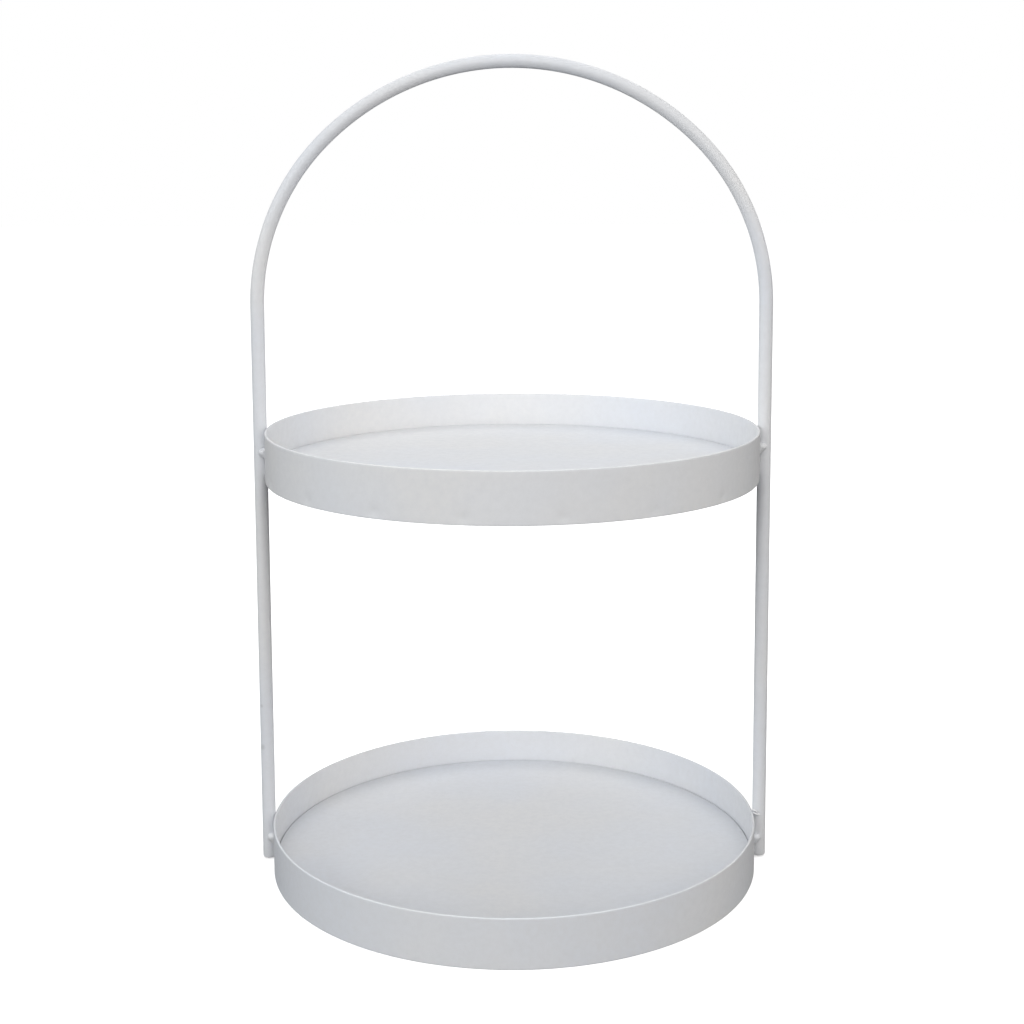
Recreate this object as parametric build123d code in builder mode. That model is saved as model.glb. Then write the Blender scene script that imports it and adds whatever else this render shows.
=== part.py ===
"""Two-tier cake stand: one bent rod frame that carries two round metal trays.

Millimetres, +Z up.  The origin is the middle of the lower tray, on the table that the stand rests on.
The arch lies in the XZ plane, so the legs stand at -X and +X, and -Y is the front.
"""
import os
from math import asin, cos, degrees, radians

from build123d import *

os.makedirs("parts", exist_ok=True)

# ---- driving dimensions -------------------------------------------------------------------------

tray_radius = 150.0          # outside of the wall ring
wall_height = 29.5           # width of the strip that the ring is rolled from
wall_thickness = 1.5
wall_edge_round = 0.4        # dulled edges of the strip
floor_height = 8.0           # top of the floor above the lower edge of its ring
floor_thickness = 1.5
floor_edge_round = 0.3
floor_gap = 0.45             # open joint between the floor disc and the ring
tier_pitch = 245.0           # from the lower tray up to the upper tray

rod_radius = 4.2             # 8 mm bar and its thick coating
overall_height = 498.7
arch_top_radius = 160.0      # bend radii, measured to the middle of the rod
arch_shoulder_radius = 140.0
leg_end_height = 1.0         # the legs stop just short of the table
leg_end_round = 0.7

seam_width = 1.6             # butt joint that closes each rolled ring, behind the right leg

tack_offset_out = 2.25       # middle of a leg tack, outward from the face of the ring
tack_offset_side = 4.3       # and to the front or back of the rod's centre line
leg_tack_radius = 3.0
leg_tack_heights = {         # above the lower edge of the ring, on the left leg and on the right one
    "lower": (15.2, 13.4),
    "upper": (14.8, 17.0),
}
rim_tack_height = 27.6       # one more small tack, in front of the right leg at the rim of the lower tray
rim_tack_radius = 2.6

floor_tack_count = 18        # tacks under each floor, in the corner with the ring
floor_tack_start = 10.9      # degrees from the front to the first of them
floor_tack_radius = 2.8

# ---- sizes that follow from them ----------------------------------------------------------------

leg_x = tray_radius + rod_radius
ring_inner_radius = tray_radius - wall_thickness
floor_radius = ring_inner_radius - floor_gap
floor_underside = floor_height - floor_thickness
arch_apex = overall_height - rod_radius

# A shoulder arc meets the top arc where both centres and the meeting point are in line.
radius_step = arch_top_radius - arch_shoulder_radius
half_top_angle = degrees(asin((leg_x - arch_shoulder_radius) / radius_step))
shoulder_angle = 90.0 - half_top_angle
spring_height = arch_apex - arch_top_radius + radius_step * cos(radians(half_top_angle))

tack_x = tray_radius + tack_offset_out

# The block of space that a ring's butt joint takes up, with room to spare round the strip.
joint_box = (4 * wall_thickness, seam_width, 2 * wall_height)


# ---- frame --------------------------------------------------------------------------------------

with BuildPart() as arch_frame:
    with BuildLine(Plane.XZ):
        left_leg = Line((-leg_x, leg_end_height), (-leg_x, spring_height))
        left_shoulder = JernArc(left_leg @ 1, left_leg % 1, arch_shoulder_radius, -shoulder_angle)
        arch_top = JernArc(left_shoulder @ 1, left_shoulder % 1, arch_top_radius, -2 * half_top_angle)
        right_shoulder = JernArc(arch_top @ 1, arch_top % 1, arch_shoulder_radius, -shoulder_angle)
        Line(right_shoulder @ 1, (leg_x, leg_end_height))
    with BuildSketch(Plane.XY.offset(leg_end_height)):
        with Locations((-leg_x, 0)):
            Circle(rod_radius)
    sweep()
    leg_ends = arch_frame.edges().filter_by(GeomType.CIRCLE).group_by(Axis.Z)[0]
    fillet(leg_ends, leg_end_round)
arch_frame.part.label = "arch_frame"
export_step(arch_frame.part, "parts/arch_frame.step")


# ---- trays --------------------------------------------------------------------------------------

def strip_ring(base):
    """A full turn of the rolled strip, standing on the height base."""
    with BuildPart() as ring:
        with BuildSketch(Plane.XZ) as strip:
            with Locations((tray_radius - wall_thickness / 2, base + wall_height / 2)):
                Rectangle(wall_thickness, wall_height)
            fillet(strip.vertices(), wall_edge_round)
        revolve(axis=Axis.Z)
    return ring.part


def wall_ring(base):
    """The rolled strip, open where its two ends meet."""
    full_turn = strip_ring(base)
    with BuildPart() as ring:
        add(full_turn)
        with Locations((tray_radius, 0, base + wall_height / 2)):
            Box(*joint_box, mode=Mode.SUBTRACT)
    return ring.part


def ring_seam(base):
    """The butt weld that closes the ring, dressed flush with the strip."""
    full_turn = strip_ring(base)
    with BuildPart() as seam:
        add(full_turn)
        with Locations((tray_radius, 0, base + wall_height / 2)):
            Box(*joint_box, mode=Mode.INTERSECT)
    return seam.part


def floor_disc(base):
    """The flat disc that lies inside the ring and is the surface that food stands on."""
    with BuildPart() as disc:
        with BuildSketch(Plane.XY.offset(base + floor_underside)):
            Circle(floor_radius)
        extrude(amount=floor_thickness)
        fillet(disc.edges().filter_by(GeomType.CIRCLE), floor_edge_round)
    return disc.part


def floor_tacks(base):
    """Weld beads under the floor, in the corner that the disc makes with the ring."""
    with BuildPart() as tacks:
        with Locations((0, 0, base + floor_underside)):
            with PolarLocations(ring_inner_radius, floor_tack_count, floor_tack_start - 90.0):
                Sphere(floor_tack_radius)
        with Locations((0, 0, base + floor_underside / 2)):
            Cylinder(ring_inner_radius, floor_underside, mode=Mode.INTERSECT)
    return tacks.part


def side_beads(tier):
    """Middle and radius of the beads that hold one ring, at the front and back of each leg."""
    return [
        (side * tack_x, face * tack_offset_side, height, leg_tack_radius)
        for side, height in zip((-1, 1), leg_tack_heights[tier])
        for face in (-1, 1)
    ]


def leg_tacks(base, beads):
    """Weld beads in the V between each leg and the ring, cut back to the faces that they join."""
    with BuildPart() as tacks:
        for x, y, height, bead_radius in beads:
            with Locations((x, y, base + height)):
                Sphere(bead_radius)
        with Locations((0, 0, base + wall_height / 2)):
            Cylinder(tray_radius, wall_height, mode=Mode.SUBTRACT)
        with Locations((-leg_x, 0, base + wall_height / 2), (leg_x, 0, base + wall_height / 2)):
            Cylinder(rod_radius, 2 * wall_height, mode=Mode.SUBTRACT)
    return tacks.part


rim_bead = (tack_x, -tack_offset_side, rim_tack_height, rim_tack_radius)

for tier, base, extra_beads in (("lower", 0.0, [rim_bead]), ("upper", tier_pitch, [])):
    pieces = {
        "ring": wall_ring(base),
        "ring_seam": ring_seam(base),
        "floor": floor_disc(base),
        "floor_tacks": floor_tacks(base),
        "leg_tacks": leg_tacks(base, side_beads(tier) + extra_beads),
    }
    for piece_name, piece in pieces.items():
        piece.label = f"{tier}_{piece_name}"
        export_step(piece, f"parts/{piece.label}.step")
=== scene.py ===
"""Looks of the two-tier cake stand: powder-coated rod, trays and welds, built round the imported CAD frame."""
from math import asin, cos, exp, pi, radians, sin, sqrt

import bmesh
import bpy
from mathutils import Matrix, Vector, noise


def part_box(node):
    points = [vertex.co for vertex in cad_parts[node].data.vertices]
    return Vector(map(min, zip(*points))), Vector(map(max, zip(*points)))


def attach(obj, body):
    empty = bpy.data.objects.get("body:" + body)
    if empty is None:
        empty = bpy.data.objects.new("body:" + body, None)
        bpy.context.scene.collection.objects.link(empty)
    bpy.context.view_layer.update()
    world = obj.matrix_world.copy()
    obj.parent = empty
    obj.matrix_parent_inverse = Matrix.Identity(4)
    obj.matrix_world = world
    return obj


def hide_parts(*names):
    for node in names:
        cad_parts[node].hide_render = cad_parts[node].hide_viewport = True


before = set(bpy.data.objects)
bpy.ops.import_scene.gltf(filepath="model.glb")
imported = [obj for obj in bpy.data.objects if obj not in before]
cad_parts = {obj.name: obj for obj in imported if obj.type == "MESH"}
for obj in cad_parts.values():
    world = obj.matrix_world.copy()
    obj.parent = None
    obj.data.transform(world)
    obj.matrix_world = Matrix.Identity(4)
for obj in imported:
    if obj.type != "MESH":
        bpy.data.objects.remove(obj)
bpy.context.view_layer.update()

# ---- sizes, in metres ---------------------------------------------------------------------------

MM = 0.001
wall_thickness = 1.5 * MM
rim_round = 0.68 * MM            # the coating builds up to an almost full round on the strip's upper edges
wall_foot_round = 0.35 * MM      # and less on its lower ones
floor_edge_round = 0.35 * MM
arch_top_radius = 160.0 * MM
arch_shoulder_radius = 140.0 * MM
leg_end_round = 0.55 * MM
seam_width = 1.6 * MM
floor_tack_count = 18
floor_tack_start = 10.9          # degrees from the front to the first tack
floor_tack_stray = 2.0           # degrees that a tack may lie off its even place
dimple_height = 4.0 * MM         # marks that the floor tacks leave in the wall
dimple_size = 2.0 * MM
dimple_depth = {"lower": 0.12 * MM, "upper": 0.42 * MM}
dimple_reach = radians(4.0)      # beyond this a dimple is too shallow to count
tack_offset_out = 2.05 * MM      # middle of a leg tack, outward from the ring and to the side of the leg
tack_offset_side = 4.7 * MM
leg_tack_heights = {"lower": (15.2 * MM, 13.4 * MM), "upper": (14.8 * MM, 17.0 * MM)}
bridge_depth = 2.2 * MM          # how far the coating fills the V between a leg and a ring
bridge_bite = 0.1 * MM           # and how far it reaches into them
bridge_start = 0.05 * MM         # just off the middle, clear of the bridge on the leg's other side
skin = 0.02 * MM                 # surfaces keep this far inside the CAD faces

# How uneven the hand-made parts are, each with the length over which that changes.
rod_dent, rod_dent_length = 0.02 * MM, 35.0 * MM
ring_waver, ring_waver_length = 0.08 * MM, 70.0 * MM        # out of round
ring_lift, ring_lift_length = 0.10 * MM, 90.0 * MM          # out of level
floor_dish, floor_dish_length = 0.10 * MM, 60.0 * MM
bridge_waver_length = 6.0 * MM

# Half sizes of the weld lumps: outward from the stand, sideways and up.
leg_bead_size = (2.9 * MM, 2.4 * MM, 2.4 * MM)
leg_bead_tail = 3.2 * MM         # how far a leg bead runs down
leg_bead_lean = 1.3 * MM         # and in towards the ring
rim_bead_sizes = ((2.7 * MM, 1.6 * MM, 0.75 * MM), (2.6 * MM, 1.4 * MM, 0.6 * MM))
rim_bead_step = (-0.5 * MM, 0.1 * MM, 1.9 * MM)
floor_bead_size = (1.5 * MM, 3.4 * MM, 1.5 * MM)

# Steps that the round shapes are cut into.
arc_steps = 5
side_steps = 24
rod_around = 48
leg_steps, shoulder_steps, top_steps = 40, 32, 64
wall_around = 720
seam_across = 10
floor_around = 256
floor_ring_shares = (0.0, 0.04, 0.1, 0.2, 0.3, 0.4, 0.5, 0.6, 0.7, 0.8, 0.88, 0.94, 0.975)
bridge_steps = 60

frame_low, frame_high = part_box("arch_frame")
rod_radius = (frame_high.y - frame_low.y) / 2
leg_x = frame_high.x - rod_radius
arch_apex = frame_high.z - rod_radius
tray_radius = leg_x - rod_radius


# ---- mesh helpers -------------------------------------------------------------------------------

def add_piece(name, bm, material, node):
    """Turns a bmesh into a smooth piece that rides on the stand and stands for one CAD node."""
    mesh = bpy.data.meshes.new(name)
    bmesh.ops.recalc_face_normals(bm, faces=bm.faces)
    bm.to_mesh(mesh)
    bm.free()
    mesh.shade_smooth()
    mesh.materials.append(material)
    piece = bpy.data.objects.new(name, mesh)
    bpy.context.scene.collection.objects.link(piece)
    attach(piece, "root")
    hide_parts(node)


def unevenness(point, size, seed):
    """Smooth noise between about -1 and 1 that changes over the length size."""
    return noise.noise(Vector(point) / size + Vector((7.3, 3.1, 5.7)) * seed)


def skin_over(rows, closed_rows=True, closed_path=False, capped=False, bm=None):
    """A skin over equal rows of points, each joined to the next, in a new bmesh or added to the given one."""
    if bm is None:
        bm = bmesh.new()
    verts = [[bm.verts.new(point) for point in row] for row in rows]
    pairs = list(zip(verts, verts[1:]))
    if closed_path:
        pairs.append((verts[-1], verts[0]))
    count = len(verts[0])
    for row, following in pairs:
        for index in range(count if closed_rows else count - 1):
            after = (index + 1) % count
            bm.faces.new((row[index], row[after], following[after], following[index]))
    if capped:
        bm.faces.new(verts[0][::-1])
        bm.faces.new(verts[-1])
    return bm


def corner_arc(r, z, rounding, start):
    """Points (r, z) of a quarter circle about its middle, anticlockwise from the angle start in degrees."""
    angles = [radians(start + 90.0 * step / arc_steps) for step in range(arc_steps + 1)]
    return [(r + rounding * cos(angle), z + rounding * sin(angle)) for angle in angles]


def rounded_outline(low, high, lower_round, upper_round):
    """Points (r, z) round a rectangle with rounded corners, from its lower outer corner."""
    (r0, z0), (r1, z1) = low, high
    corners = (
        corner_arc(r1 - lower_round, z0 + lower_round, lower_round, -90.0),
        corner_arc(r1 - upper_round, z1 - upper_round, upper_round, 0.0),
        corner_arc(r0 + upper_round, z1 - upper_round, upper_round, 90.0),
        corner_arc(r0 + lower_round, z0 + lower_round, lower_round, 180.0),
    )
    outline = []
    for corner, following in zip(corners, corners[1:] + corners[:1]):
        outline += corner
        (r, z), (next_r, next_z) = corner[-1], following[0]
        shares = [step / side_steps for step in range(1, side_steps)]
        outline += [(r + (next_r - r) * share, z + (next_z - z) * share) for share in shares]
    return outline


# ---- materials ----------------------------------------------------------------------------------

WHITE = (0.741, 0.75, 0.768)
# Painted light: the tray floors get a cooler copy of the white, standing in for the cool overhead light that
# falls on them.
SKYLIT_COOL_WHITE = (0.738, 0.75, 0.775)


def scaled(tone, factor):
    """The tone made lighter or darker by one factor, or tinted by one for each channel."""
    factors = factor if isinstance(factor, tuple) else (factor,) * 3
    return tuple(min(1.0, channel * k) for channel, k in zip(tone, factors))


def powder_coat(name, seed, tone=WHITE, grain=1.0, scuffs=()):
    """White satin powder coat: faint mottling, orange-peel texture, lighter edges, painted shade in corners
    and a few soft scuffs.
    """
    material = bpy.data.materials.new(name)
    material.use_nodes = True
    nodes, links = material.node_tree.nodes, material.node_tree.links
    shader = nodes["Principled BSDF"]
    shader.inputs["Specular IOR Level"].default_value = 0.42

    where = nodes.new("ShaderNodeTexCoord")
    shift = nodes.new("ShaderNodeMapping")
    shift.inputs["Location"].default_value = (0.37 * seed, 0.21 * seed, 0.53 * seed)
    links.new(where.outputs["Object"], shift.inputs["Vector"])

    def noise_texture(scale, detail, roughness=0.5):
        texture = nodes.new("ShaderNodeTexNoise")
        texture.inputs["Scale"].default_value = scale
        texture.inputs["Detail"].default_value = detail
        texture.inputs["Roughness"].default_value = roughness
        links.new(shift.outputs["Vector"], texture.inputs["Vector"])
        return texture.outputs["Fac"]

    def ramp(factor, low, high, start, end):
        node = nodes.new("ShaderNodeMapRange")
        node.inputs["From Min"].default_value = low
        node.inputs["From Max"].default_value = high
        node.inputs["To Min"].default_value = start
        node.inputs["To Max"].default_value = end
        links.new(factor, node.inputs["Value"])
        return node.outputs["Result"]

    def blend_colour(factor, first, second):
        node = nodes.new("ShaderNodeMix")
        node.data_type = "RGBA"
        for socket, value in (("A", first), ("B", second)):
            target = next(s for s in node.inputs if s.name == socket and s.type == "RGBA")
            if isinstance(value, tuple):
                target.default_value = (*value, 1.0)
            else:
                links.new(value, target)
        links.new(factor, next(s for s in node.inputs if s.name == "Factor" and s.type == "VALUE"))
        return next(s for s in node.outputs if s.type == "RGBA")

    clouds = noise_texture(9.0, 3.0)                       # features of about 110 mm
    mottling = noise_texture(260.0, 4.0, 0.62)             # 4 mm
    orange_peel = noise_texture(330.0 * grain, 2.0)        # 3 mm
    fine_peel = noise_texture(900.0 * grain, 2.0)          # 1 mm

    cool, warm = scaled(tone, (0.955, 0.972, 1.0)), scaled(tone, (1.0, 0.99, 0.97))
    colour = blend_colour(ramp(clouds, 0.35, 0.65, 0.0, 1.0), cool, warm)
    colour = blend_colour(ramp(mottling, 0.35, 0.75, 0.0, 0.5), colour, scaled(tone, 0.9))

    # Sharp edges are rubbed a little lighter, and corners are darkened with painted shade.
    geometry = nodes.new("ShaderNodeNewGeometry")
    edge = ramp(geometry.outputs["Pointiness"], 0.53, 0.60, 0.0, 0.35)
    colour = blend_colour(edge, colour, scaled(tone, 1.06))
    # painted shade: concave corners and clefts are darkened where shade falls
    corner = ramp(geometry.outputs["Pointiness"], 0.47, 0.42, 0.0, 0.5)
    colour = blend_colour(corner, colour, scaled(tone, 0.62))
    for place, size in scuffs:
        distance = nodes.new("ShaderNodeVectorMath")
        distance.operation = "DISTANCE"
        distance.inputs[1].default_value = place
        links.new(where.outputs["Object"], distance.inputs[0])
        smudge = ramp(distance.outputs["Value"], size, 0.3 * size, 0.0, 0.45)
        colour = blend_colour(smudge, colour, scaled(tone, 0.6))
    links.new(colour, shader.inputs["Base Color"])

    links.new(ramp(mottling, 0.3, 0.7, 0.40, 0.56), shader.inputs["Roughness"])

    height = nodes.new("ShaderNodeMath")
    height.operation = "ADD"
    links.new(ramp(fine_peel, 0.0, 1.0, 0.0, 0.4), height.inputs[0])
    links.new(orange_peel, height.inputs[1])
    bump = nodes.new("ShaderNodeBump")
    bump.inputs["Strength"].default_value = 0.22
    bump.inputs["Distance"].default_value = 0.05 * MM
    links.new(height.outputs[0], bump.inputs["Height"])
    links.new(bump.outputs["Normal"], shader.inputs["Normal"])
    return material


scuff_x, scuff_y = -leg_x - 2.5 * MM, -3.2 * MM            # on the front of the left leg
leg_scuffs = (
    (Vector((scuff_x, scuff_y, 73.0 * MM)), 2.4 * MM),
    (Vector((scuff_x, scuff_y, 99.5 * MM)), 1.4 * MM),
)
frame_coat = powder_coat("frame_coat", 1.0, scuffs=leg_scuffs)
tray_coat = powder_coat("tray_coat", 2.0)
# painted light: a cooler copy of the tray coat for the up-facing floors, standing in for the cool overhead
# light
skylit_floor_coat = powder_coat("skylit_floor_coat", 2.0, tone=SKYLIT_COOL_WHITE)
weld_coat = powder_coat("weld_coat", 3.0, grain=0.8)


# ---- frame --------------------------------------------------------------------------------------

def frame_centre_line():
    """Points along the middle of the rod, from the left leg's end to the right one's."""
    leg_end = frame_low.z
    radius_step = arch_top_radius - arch_shoulder_radius
    half_top = asin((leg_x - arch_shoulder_radius) / radius_step)
    top_centre = arch_apex - arch_top_radius
    spring = top_centre + radius_step * cos(half_top)

    points = [(-leg_x, leg_end + (spring - leg_end) * step / leg_steps) for step in range(leg_steps)]
    for step in range(shoulder_steps):
        turn = (pi / 2 - half_top) * step / shoulder_steps
        inward = arch_shoulder_radius * (1 - cos(turn))
        points.append((-leg_x + inward, spring + arch_shoulder_radius * sin(turn)))
    for step in range(top_steps // 2 + 1):
        turn = half_top * (1 - 2 * step / top_steps)
        points.append((-arch_top_radius * sin(turn), top_centre + arch_top_radius * cos(turn)))
    points += [(-x, z) for x, z in points[-2::-1]]
    return [Vector((x, 0, z)) for x, z in points]


def rod_skin():
    """The bent rod, with its sawn ends dulled and the faint unevenness of a bar bent by hand."""
    radius = rod_radius - skin
    line = frame_centre_line()

    def ring(centre, along, ring_radius, seed_point):
        across = Vector((0, 1, 0))
        outward = across.cross(along).normalized()
        row = []
        for index in range(rod_around):
            angle = 2 * pi * index / rod_around
            direction = outward * cos(angle) + across * sin(angle)
            dent = rod_dent * (unevenness(seed_point + direction * 0.02, rod_dent_length, 1) - 1)
            row.append(centre + direction * (ring_radius + dent))
        return row

    def end_cap(point, upward):
        cap = []
        for step in range(arc_steps + 1):
            angle = pi / 2 * step / arc_steps
            lift = leg_end_round * (1 - sin(angle))
            inset = leg_end_round * (1 - cos(angle))
            centre = point + Vector((0, 0, lift))
            cap.append(ring(centre, upward, radius - inset, point))
        return cap

    left_end = end_cap(line[0], Vector((0, 0, 1)))[::-1]
    right_end = end_cap(line[-1], Vector((0, 0, -1)))
    between = [
        ring(point, (after - before).normalized(), radius, point)
        for before, point, after in zip(line, line[1:], line[2:])
    ]
    return skin_over(left_end + between + right_end, capped=True)


add_piece("rod_frame", rod_skin(), frame_coat, "arch_frame")


# ---- trays --------------------------------------------------------------------------------------

def ring_outline(base, top):
    """Points (r, z) round the strip's section."""
    inner, outer = tray_radius - wall_thickness + skin, tray_radius - skin
    return rounded_outline((inner, base), (outer, top), wall_foot_round, rim_round)


def tack_angles(seed):
    """Where the tacks under a floor lie round the ring: evenly spaced, give or take a hand's aim."""
    pitch = 360.0 / floor_tack_count
    even = [radians(floor_tack_start - 90.0 + pitch * index) for index in range(floor_tack_count)]
    stray = radians(floor_tack_stray)
    return [angle + stray * unevenness((cos(angle), sin(angle), 0), 0.3, seed) for angle in even]


def dimple(z, angle, base, tacks, deepest):
    """How far the wall is drawn in where a tack under the floor shrank as it cooled."""
    depth = 0.0
    for tack in tacks:
        along = (angle - tack + pi) % (2 * pi) - pi
        distance_sq = (along * tray_radius) ** 2 + (z - base - dimple_height) ** 2
        depth += deepest * exp(-distance_sq / (2 * dimple_size ** 2))
    return depth


def ring_point(r, z, angle, middle, seed):
    """A point of the rolled strip, which is never quite round or level."""
    direction = Vector((cos(angle), sin(angle), 0))
    place = direction * tray_radius
    waver = ring_waver * (unevenness(place + Vector((0, 0, z)), ring_waver_length, seed) - 1)
    lift = ring_lift * unevenness(place, ring_lift_length, seed + 4)
    inward = min(0.0, lift) if z > middle else max(0.0, -lift)
    return direction * (r + waver) + Vector((0, 0, z + inward))


def wall_ring(node, deepest_dimple, seed):
    """The strip, rolled round and open at its butt joint."""
    low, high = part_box(node)
    half_gap = seam_width / 2 / tray_radius
    outline = ring_outline(low.z, high.z)
    middle = (low.z + high.z) / 2
    tacks = tack_angles(seed)
    rows = []
    for step in range(wall_around + 1):
        angle = half_gap + (2 * pi - 2 * half_gap) * step / wall_around
        near = [tack for tack in tacks if cos(tack - angle) > cos(dimple_reach)]
        row = []
        for r, z in outline:
            drawn_in = dimple(z, angle, low.z, near, deepest_dimple)
            row.append(ring_point(r - drawn_in, z, angle, middle, seed))
        rows.append(row)
    return skin_over(rows, capped=True)


def seam_weld(ring_node, seed):
    """The weld in the butt joint: flush outside against the leg, and a low rippled ridge inside."""
    low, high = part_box(ring_node)
    outline = ring_outline(low.z, high.z)
    middle = (low.z + high.z) / 2
    half_gap = seam_width / 2 / tray_radius
    ridge, ripple, ripple_length = 0.10 * MM, 0.06 * MM, 1.3 * MM
    rows = []
    for step in range(seam_across + 1):
        share = step / seam_across
        angle = -half_gap + 2 * half_gap * share
        crown = sin(pi * share)
        row = []
        for r, z in outline:
            point = ring_point(r, z, angle, middle, seed)
            if r < tray_radius - wall_thickness * 0.7:
                swell = ripple * sin(z / ripple_length) + ridge
                point -= Vector((cos(angle), sin(angle), 0)) * crown * swell
            row.append(point)
        rows.append(row)
    return skin_over(rows, capped=True)


def floor_disc(node, seed):
    """The floor: flat sheet with dulled edges that dishes by a tenth of a millimetre here and there."""
    low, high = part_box(node)
    radius = (high.y - low.y) / 2 - skin
    edge_radius = radius - floor_edge_round
    flat_radii = [radius * share for share in floor_ring_shares]
    corner = [
        (edge_radius + floor_edge_round * sin(angle), floor_edge_round * (1 - cos(angle)))
        for angle in [pi / 2 * step / arc_steps for step in range(arc_steps + 1)]
    ]
    upper = [(r, high.z) for r in flat_radii] + [(r, high.z - inset) for r, inset in corner]
    lower = [(r, low.z + floor_dish) for r in flat_radii]
    lower += [(r, low.z + floor_dish + inset) for r, inset in corner]
    outline = upper + lower[::-1]
    rows = []
    for step in range(floor_around):
        angle = 2 * pi * step / floor_around
        row = []
        for r, z in outline:
            flat = Vector((r * cos(angle), r * sin(angle), 0))
            dish = floor_dish * (unevenness(flat, floor_dish_length, seed) - 1)
            row.append(flat + Vector((0, 0, z + dish)))
        rows.append(row)
    bm = skin_over(rows, closed_rows=False, closed_path=True)
    bmesh.ops.remove_doubles(bm, verts=bm.verts, dist=0.001 * MM)
    return bm


# ---- welds --------------------------------------------------------------------------------------

def bead(bm, centre, half_sizes, turn, seed, tail=0.0, tail_lean=0.0):
    """Adds one lump of weld metal, uneven as it froze, with a tail that runs down from it and leans aside."""
    lump = bmesh.ops.create_icosphere(bm, subdivisions=4, radius=1.0)["verts"]
    for vert in lump:
        unit = vert.co.normalized()
        swell = 1.0 + 0.10 * unevenness(unit, 0.9, seed) + 0.03 * unevenness(unit, 0.35, seed + 9)
        body = Vector((unit.x * half_sizes[0], unit.y * half_sizes[1], unit.z * half_sizes[2])) * swell
        drop = max(0.0, -unit.z) ** 2
        slimmer = 1.0 - 0.35 * drop
        body.x = body.x * slimmer + tail_lean * drop
        body.y *= slimmer
        body.z -= tail * drop
        vert.co = centre + turn @ body


def coat_bridge(bm, side, face, low, high, seed):
    """Adds the coating that bridges the bottom of the V between a leg and a ring."""
    rows = []
    for step in range(bridge_steps + 1):
        z = low + (high - low) * step / bridge_steps
        depth = bridge_depth * (1.0 + 0.25 * unevenness((0, 0, z), bridge_waver_length, seed))
        depth *= min(1.0, 0.25 + 3.0 * min(step, bridge_steps - step) / bridge_steps)    # thinner at the ends
        levels = (bridge_start, depth * 0.5, depth)
        ring_side = [(sqrt(tray_radius ** 2 - y ** 2) - bridge_bite, y) for y in levels]
        rod_side = [(leg_x - sqrt(rod_radius ** 2 - y ** 2) + bridge_bite, y) for y in levels[::-1]]
        hollow = ((ring_side[-1][0] + rod_side[0][0]) / 2, depth - 0.12 * MM)
        rows.append([Vector((side * x, face * y, z)) for x, y in ring_side + [hollow] + rod_side])
    skin_over(rows, capped=True, bm=bm)


def leg_beads(tier, seed):
    """The welds in the V between leg and ring: each a drop that runs down from the rod to the ring."""
    ring_low, ring_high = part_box(f"{tier}_ring")
    tack_x = tray_radius + tack_offset_out
    bm = bmesh.new()
    for side, height in zip((-1, 1), leg_tack_heights[tier]):
        for face in (-1, 1):
            seed += 1
            centre = Vector((side * tack_x, face * tack_offset_side, ring_low.z + height))
            turn = Matrix.Rotation(side * radians(14.0 + 6.0 * sin(seed)), 3, "Y")
            bead(bm, centre, leg_bead_size, turn, seed, tail=leg_bead_tail, tail_lean=-side * leg_bead_lean)
            coat_bridge(bm, side, face, ring_low.z + 0.5 * MM, ring_high.z - 0.8 * MM, seed)
    if tier == "lower":
        # Two thin ridges, one above the other, join the rim to the front of the right leg.
        slope = Matrix.Rotation(radians(26.0), 3, "Y")
        place = Vector((tack_x - 0.2 * MM, -0.9 * tack_offset_side, ring_high.z - 0.9 * MM))
        bead(bm, place, rim_bead_sizes[0], slope, seed + 20)
        bead(bm, place + Vector(rim_bead_step), rim_bead_sizes[1], slope, seed + 21)
    return bm


def floor_beads(tier, ring_seed):
    """The tacks under a floor, in the corner that it makes with the ring."""
    corner_radius = tray_radius - wall_thickness - 0.9 * MM
    corner_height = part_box(f"{tier}_floor_tacks")[1].z - 0.5 * MM
    bm = bmesh.new()
    for index, angle in enumerate(tack_angles(ring_seed)):
        centre = Vector((corner_radius * cos(angle), corner_radius * sin(angle), corner_height))
        bead(bm, centre, floor_bead_size, Matrix.Rotation(angle, 3, "Z"), ring_seed + 50 + index)
    return bm


for tier, seed in (("lower", 1), ("upper", 11)):
    wall = wall_ring(f"{tier}_ring", dimple_depth[tier], seed)
    seam = seam_weld(f"{tier}_ring", seed)
    tray_floor = floor_disc(f"{tier}_floor", seed + 2)
    add_piece(f"{tier}_wall", wall, tray_coat, f"{tier}_ring")
    add_piece(f"{tier}_wall_seam", seam, weld_coat, f"{tier}_ring_seam")
    add_piece(f"{tier}_tray_floor", tray_floor, skylit_floor_coat, f"{tier}_floor")
    add_piece(f"{tier}_floor_beads", floor_beads(tier, seed), weld_coat, f"{tier}_floor_tacks")
    add_piece(f"{tier}_leg_beads", leg_beads(tier, seed + 40), weld_coat, f"{tier}_leg_tacks")


# ---- studio -------------------------------------------------------------------------------------

floor_half_size = 12.0
floor_white = 0.90               # the studio floor's colour as the camera sees it
floor_bounce = 0.06              # and for the light that it sends back up
floor_glow = 0.50                # lifts it to white for the camera
world_white = 1.0                # the surroundings as the camera sees them
world_fill = 0.44                # and as they light the stand
sun_strength, sun_angle = 0.72, radians(80.0)
light_target = (0.0, 0.0, 0.15)
COOL = (0.94, 0.975, 1.0)
WARM = (1.0, 0.955, 0.90)
NEUTRAL = (1.0, 1.0, 1.0)
SKY = (0.95, 0.975, 1.0)
FRONT = (1.0, 0.989, 0.982)


def by_camera_ray(nodes, links, otherwise, seen, target):
    """Gives a studio surface one value for the camera and another for the light that it sheds."""
    ray = nodes.new("ShaderNodeLightPath")
    value = nodes.new("ShaderNodeMapRange")
    value.inputs["To Min"].default_value = otherwise
    value.inputs["To Max"].default_value = seen
    links.new(ray.outputs["Is Camera Ray"], value.inputs["Value"])
    links.new(value.outputs["Result"], target)


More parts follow.
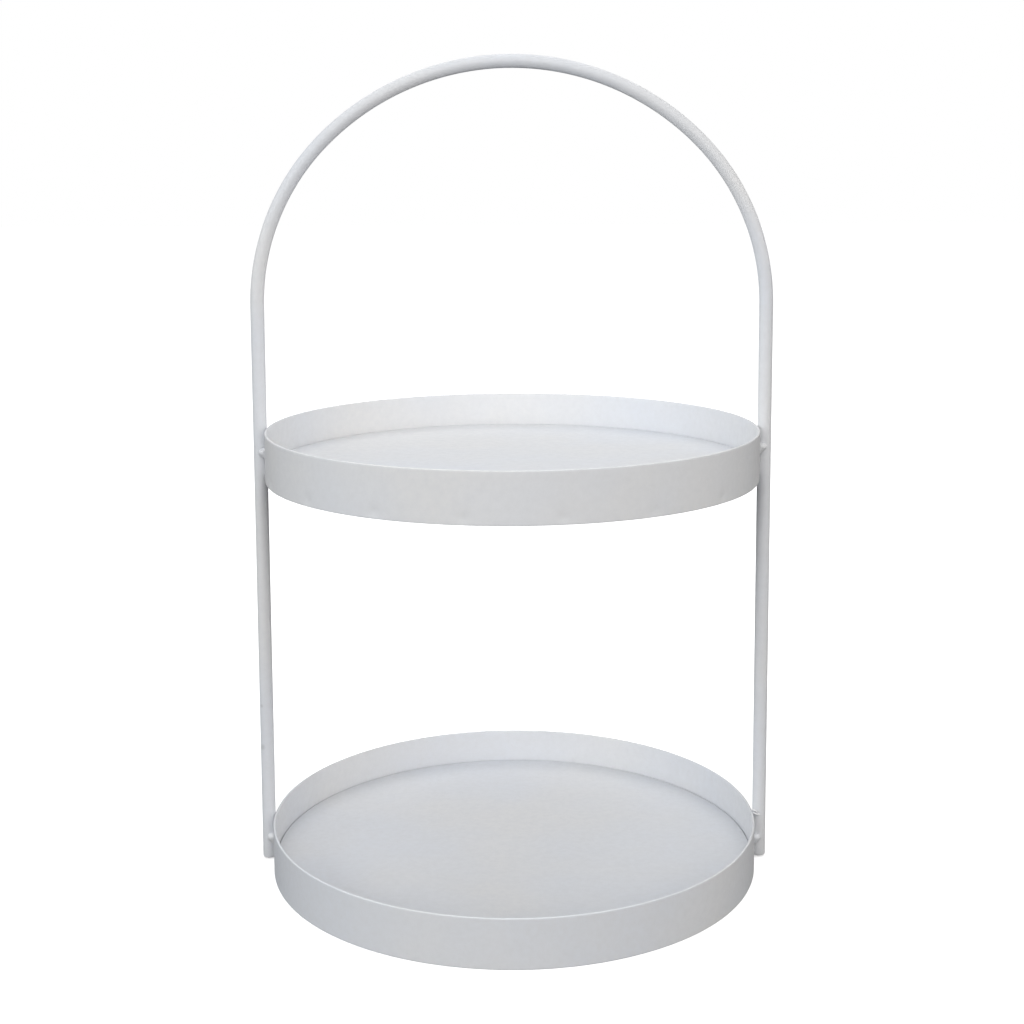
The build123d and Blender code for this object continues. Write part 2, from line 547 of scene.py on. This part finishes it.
def studio_floor():
    """A plain white floor, open to a camera that looks up through it."""
    bm = bmesh.new()
    bmesh.ops.create_grid(bm, x_segments=8, y_segments=8, size=floor_half_size)
    mesh = bpy.data.meshes.new("studio_floor")
    bm.to_mesh(mesh)
    bm.free()
    material = bpy.data.materials.new("studio_floor")
    material.use_nodes = True
    nodes, links = material.node_tree.nodes, material.node_tree.links
    shader = nodes["Principled BSDF"]
    shader.inputs["Roughness"].default_value = 1.0
    shader.inputs["Specular IOR Level"].default_value = 0.0
    by_camera_ray(nodes, links, floor_bounce, floor_white, shader.inputs["Base Color"])
    shader.inputs["Emission Color"].default_value = (1.0, 1.0, 1.0, 1.0)
    by_camera_ray(nodes, links, 0.0, floor_glow, shader.inputs["Emission Strength"])
    facing = nodes.new("ShaderNodeNewGeometry")
    clear = nodes.new("ShaderNodeBsdfTransparent")
    mix = nodes.new("ShaderNodeMixShader")
    links.new(facing.outputs["Backfacing"], mix.inputs[0])
    links.new(shader.outputs["BSDF"], mix.inputs[1])
    links.new(clear.outputs["BSDF"], mix.inputs[2])
    links.new(mix.outputs["Shader"], nodes["Material Output"].inputs["Surface"])
    mesh.materials.append(material)
    floor = bpy.data.objects.new("studio_floor", mesh)
    bpy.context.scene.collection.objects.link(floor)


def add_light(name, kind, place, power, colour):
    """A light that points at the space between the trays."""
    data = bpy.data.lights.new(name, kind)
    data.energy = power
    data.color = colour
    light = bpy.data.objects.new(name, data)
    light.location = place
    light.rotation_euler = (Vector(light_target) - Vector(place)).to_track_quat("-Z", "Y").to_euler()
    bpy.context.scene.collection.objects.link(light)
    return data


def area_light(name, place, size, power, colour):
    data = add_light(name, "AREA", place, power, colour)
    data.shape = "RECTANGLE"
    data.size, data.size_y = size


def studio_light():
    """Soft light from overhead and all round at a low angle, a little cooler and stronger from the left."""
    world = bpy.data.worlds.new("studio")
    world.use_nodes = True
    nodes, links = world.node_tree.nodes, world.node_tree.links
    nodes["Background"].inputs["Color"].default_value = (1.0, 1.0, 1.0, 1.0)
    by_camera_ray(nodes, links, world_fill, world_white, nodes["Background"].inputs["Strength"])
    bpy.context.scene.world = world
    add_light("overhead", "SUN", (0.0, -0.2, 2.0), sun_strength, SKY).angle = sun_angle
    area_light("front", (0.0, -2.4, 1.05), (2.8, 1.2), 31.0, FRONT)
    area_light("left", (-2.3, -1.0, 1.0), (1.6, 1.2), 21.0, COOL)
    area_light("right", (2.3, -1.0, 1.0), (1.6, 1.2), 14.0, WARM)
    area_light("back", (0.0, 1.9, 2.2), (2.4, 1.2), 16.0, NEUTRAL)


studio_floor()
studio_light()
bpy.context.scene.view_settings.view_transform = "Standard"


# ---- camera -------------------------------------------------------------------------------------

def place_camera():
    """The photograph's viewpoint: in the middle, just below the top of the arch, looking slightly down."""
    distance, height = 0.9903, 0.42945
    azimuth, pitch, roll = 0.0003, 0.1232, -0.0044
    data = bpy.data.cameras.new("camera")
    data.sensor_width = 36.0
    data.lens = 57.60
    data.shift_y = -0.135
    data.clip_start, data.clip_end = 0.05, 50.0
    forward = Vector((-sin(azimuth) * cos(pitch), cos(azimuth) * cos(pitch), -sin(pitch)))
    right = Vector((cos(azimuth), sin(azimuth), 0.0))
    up = right.cross(forward)
    turned_right = right * cos(roll) + up * sin(roll)
    turned_up = up * cos(roll) - right * sin(roll)
    camera = bpy.data.objects.new("camera", data)
    matrix = Matrix((turned_right, turned_up, -forward)).transposed().to_4x4()
    matrix.translation = Vector((sin(azimuth) * distance, -cos(azimuth) * distance, height))
    camera.matrix_world = matrix
    bpy.context.scene.collection.objects.link(camera)
    bpy.context.scene.camera = camera


place_camera()
